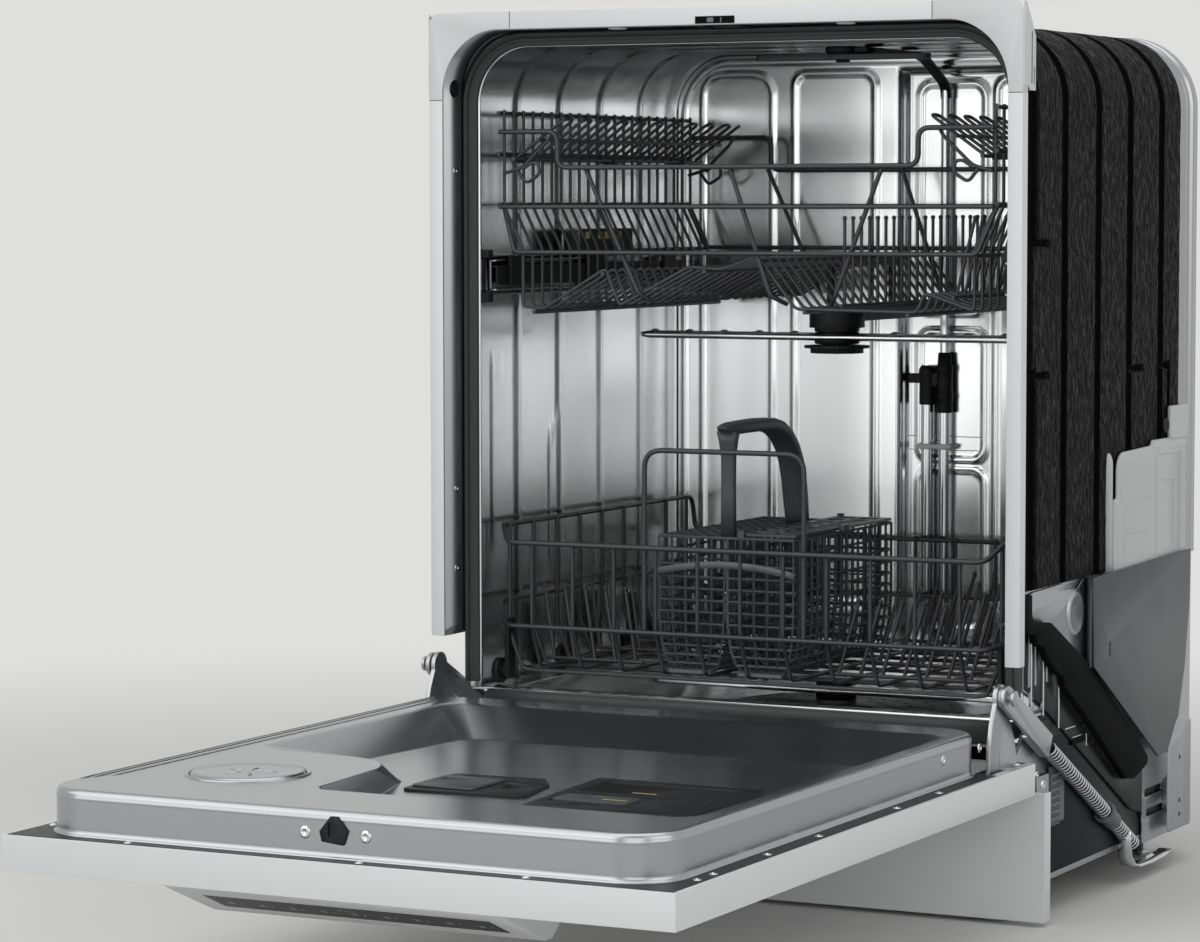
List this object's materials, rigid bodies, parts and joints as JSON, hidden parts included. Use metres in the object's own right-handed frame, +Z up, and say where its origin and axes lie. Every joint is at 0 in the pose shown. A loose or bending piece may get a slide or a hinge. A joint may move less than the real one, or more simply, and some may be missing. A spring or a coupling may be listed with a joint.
{
  "type": "freestanding dishwasher",
  "caption": "Freestanding dishwasher with its side panels off and its door open, showing two pulled-in wire racks, spray arms and balance springs.",
  "frame": {"origin": "middle of the footprint of the machine with its door open, on the floor", "axes": "+Y from the open door's top edge towards the machine's back, +Z up, +X towards the side with the water tank"},
  "size_m": [0.5984, 1.217, 0.832],
  "materials": {
    "steel_polished": "polished stainless steel",
    "steel_satin": "bare rolled stainless steel",
    "steel_zinc": "zinc plated sheet",
    "steel_painted": "smooth light grey paint",
    "wire_coated": "graphite nylon coating on wire",
    "plastic_dark": "moulded",
    "plastic_grey": "moulded",
    "plastic_light": "moulded",
    "tank_plastic": "translucent moulding",
    "rubber_seal": "extruded",
    "mat_fleece": "pressed bitumen fleece",
    "glass_dark": "dark glass"
  },
  "bodies": {
    "cabinet": {"tub_wrap": "steel_polished", "tub_back": "steel_polished", "tub_floor": "steel_polished", "rear_flange": "steel_satin", "frame_strip_top": "steel_painted", "frame_strips_side": "steel_painted", "corner_covers": "plastic_light", "door_gasket": "rubber_seal", "insulation_mat": "mat_fleece", "water_tank": "tank_plastic", "base_tray": "plastic_dark", "base_side_left": "steel_zinc", "base_side_right": "steel_zinc", "side_shield": "steel_zinc", "side_baffle": "plastic_dark", "toe_panel": "steel_painted", "hinge_brackets": "steel_zinc", "latch_strike": "plastic_dark", "supply_pipes": "steel_polished", "roof_duct": "plastic_grey", "sump": "plastic_dark", "wash_pump": "plastic_dark", "filter_plate": "plastic_grey", "rack_rails": "steel_satin", "cabinet_screws": "steel_satin"},
    "door": {"door_panel": "steel_painted", "door_liner": "steel_polished", "hinge_arms": "steel_zinc", "dispenser_housing": "plastic_grey", "vent_cap": "steel_satin", "latch_hook": "plastic_dark", "control_fascia": "plastic_light", "control_glass": "glass_dark", "door_screws": "steel_satin"},
    "detergent_flap": {"detergent_lid": "plastic_grey"},
    "rinse_aid_flap": {"rinse_aid_lid": "plastic_grey"},
    "links": {"link_levers": "steel_zinc", "balance_spring_left": "steel_zinc", "balance_spring_right": "steel_zinc"},
    "collars": {"spring_collars": "plastic_light"},
    "upper_rack": {"upper_rack_basket": "wire_coated", "upper_spray_feed": "plastic_dark"},
    "middle_rails": {"mid_rails": "steel_satin"},
    "upper_arm": {"upper_spray_arm": "steel_polished"},
    "left_cup_shelf": {"cup_shelf_left": "wire_coated"},
    "right_cup_shelf": {"cup_shelf_right": "wire_coated"},
    "lower_rack": {"lower_rack_basket": "wire_coated"},
    "cutlery": {"cutlery_basket": "plastic_grey"},
    "cutlery_lids": {"basket_lids": "plastic_grey"},
    "lower_arm": {"lower_spray_arm": "steel_satin"},
    "roof_arm": {"roof_spray_arm": "plastic_grey"},
    "strainer": {"filter_cup": "plastic_dark"},
    "wheel_pair_1": {"wheels_1": "plastic_dark"},
    "wheel_pair_2": {"wheels_2": "plastic_dark"},
    "wheel_pair_3": {"wheels_3": "plastic_dark"},
    "wheel_pair_4": {"wheels_4": "plastic_dark"},
    "front_foot_pair": {"front_feet": "steel_zinc"},
    "rear_foot_pair": {"rear_feet": "steel_zinc"}
  },
  "joints": [
    {"name": "door_hinge", "type": "hinge", "parent": "cabinet", "child": "door", "pos_m": [0, 0.075, 0.144], "axis": [1, 0, 0], "range_deg": [-90, 0]},
    {"name": "lever_swing", "type": "hinge", "parent": "door", "child": "links", "pos_m": [0, 0.076, 0.217], "axis": [1, 0, 0], "range_deg": [0, 96.16], "deforming": ["balance_spring_left", "balance_spring_right"]},
    {"name": "collar_slide", "type": "slide", "parent": "links", "child": "collars", "axis": [0, -0.8863, 0.4631], "range_m": [0, 0.06693]},
    {"name": "detergent_lid_slide", "type": "slide", "parent": "door", "child": "detergent_flap", "axis": [1, 0, 0], "range_m": [0, 0.036]},
    {"name": "rinse_aid_lid_hinge", "type": "hinge", "parent": "door", "child": "rinse_aid_flap", "pos_m": [0.092, -0.319, 0.1741], "axis": [-1, 0, 0], "range_deg": [0, 90]},
    {"name": "upper_rack_slide", "type": "slide", "parent": "cabinet", "child": "upper_rack", "axis": [0, -1, 0], "range_m": [0, 0.43]},
    {"name": "middle_rail_slide", "type": "slide", "parent": "cabinet", "child": "middle_rails", "axis": [0, -1, 0], "range_m": [0, 0.215]},
    {"name": "upper_arm_spin", "type": "hinge", "parent": "upper_rack", "child": "upper_arm", "pos_m": [0, 0.367, 0.52], "axis": [0, 0, 1], "continuous": true},
    {"name": "left_cup_shelf_fold", "type": "hinge", "parent": "upper_rack", "child": "left_cup_shelf", "pos_m": [-0.238, 0.349, 0.6954], "axis": [0, -1, 0], "range_deg": [0, 55]},
    {"name": "right_cup_shelf_fold", "type": "hinge", "parent": "upper_rack", "child": "right_cup_shelf", "pos_m": [0.238, 0.349, 0.6954], "axis": [0, 1, 0], "range_deg": [0, 55]},
    {"name": "lower_rack_slide", "type": "slide", "parent": "cabinet", "child": "lower_rack", "axis": [0, -1, 0], "range_m": [0, 0.48]},
    {"name": "cutlery_lift", "type": "slide", "parent": "lower_rack", "child": "cutlery", "axis": [0, 0, 1], "range_m": [0, 0.045]},
    {"name": "cutlery_lid_hinge", "type": "hinge", "parent": "cutlery", "child": "cutlery_lids", "pos_m": [-0.0089, 0.281, 0.344], "axis": [0, -1, 0], "range_deg": [0, 90]},
    {"name": "lower_arm_spin", "type": "hinge", "parent": "cabinet", "child": "lower_arm", "pos_m": [0, 0.367, 0.177], "axis": [0, 0, 1], "continuous": true},
    {"name": "roof_arm_spin", "type": "hinge", "parent": "cabinet", "child": "roof_arm", "pos_m": [0, 0.379, 0.795], "axis": [0, 0, 1], "continuous": true},
    {"name": "strainer_turn", "type": "hinge", "parent": "cabinet", "child": "strainer", "pos_m": [0.039, 0.309, 0.135], "axis": [0, 0, 1], "range_deg": [0, 90]},
    {"name": "front_feet_screw_out", "type": "slide", "parent": "cabinet", "child": "front_foot_pair", "axis": [0, 0, -1], "range_m": [0, 0.025]},
    {"name": "rear_feet_screw_out", "type": "slide", "parent": "cabinet", "child": "rear_foot_pair", "axis": [0, 0, -1], "range_m": [0, 0.025]},
    {"name": "wheel_spin_1", "type": "hinge", "parent": "lower_rack", "child": "wheel_pair_1", "pos_m": [0, 0.161, 0.2037], "axis": [1, 0, 0], "continuous": true},
    {"name": "wheel_spin_2", "type": "hinge", "parent": "lower_rack", "child": "wheel_pair_2", "pos_m": [0, 0.292, 0.2037], "axis": [1, 0, 0], "continuous": true},
    {"name": "wheel_spin_3", "type": "hinge", "parent": "lower_rack", "child": "wheel_pair_3", "pos_m": [0, 0.423, 0.2037], "axis": [1, 0, 0], "continuous": true},
    {"name": "wheel_spin_4", "type": "hinge", "parent": "lower_rack", "child": "wheel_pair_4", "pos_m": [0, 0.554, 0.2037], "axis": [1, 0, 0], "continuous": true}
  ],
  "couplings": [
    {"joint": "lever_swing", "follows": "door_hinge", "ratio": -1.0674},
    {"joint": "collar_slide", "follows": "door_hinge", "m_per_rad": -0.042482},
    {"joint": "middle_rail_slide", "follows": "upper_rack_slide", "ratio": 0.5}
  ]
}
